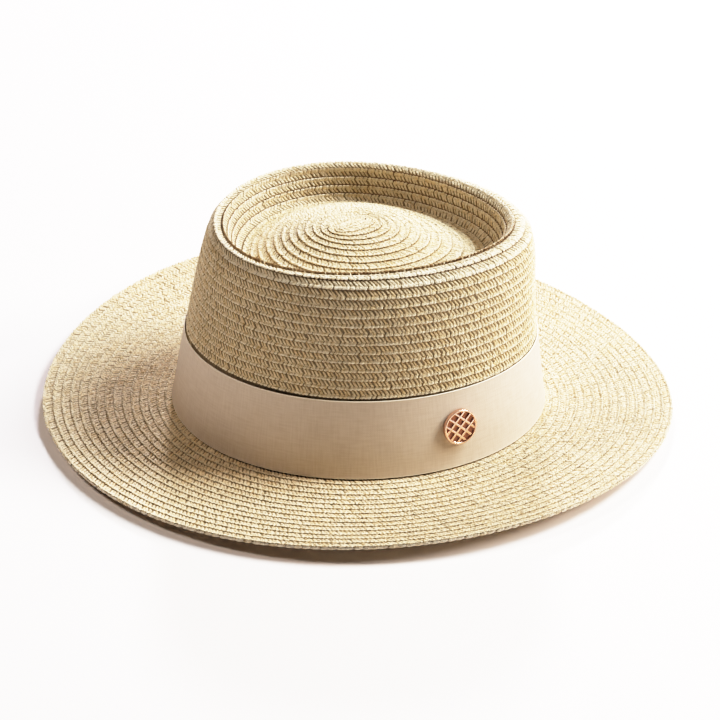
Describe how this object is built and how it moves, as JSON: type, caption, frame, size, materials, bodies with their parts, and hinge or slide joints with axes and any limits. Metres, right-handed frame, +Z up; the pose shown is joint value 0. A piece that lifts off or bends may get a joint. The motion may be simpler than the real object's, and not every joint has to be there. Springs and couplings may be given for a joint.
{
  "type": "straw porkpie hat",
  "caption": "Sewn straw braid hat with a sunken domed tip, a sloping crown, a wide brim with turned-up sides, a ribbon band and a round metal badge.",
  "frame": {"origin": "middle of the oval outline of the brim, on the surface that the hat rests on", "axes": "+Z up through the crown, the wearer's front towards -Y, the long axis of the head opening along Y"},
  "size_m": [0.3044, 0.332, 0.1083],
  "materials": {
    "straw_braid": "pale natural paper straw in sewn, overlapping courses of braid",
    "ribbon": "cream ribbed ribbon, matt",
    "rose_gold": "polished rose-gold plating"
  },
  "bodies": {
    "root": {"crown": "straw_braid", "brim": "straw_braid", "hat_band": "ribbon", "badge": "rose_gold", "badge_clutch": "rose_gold"}
  },
  "joints": []
}
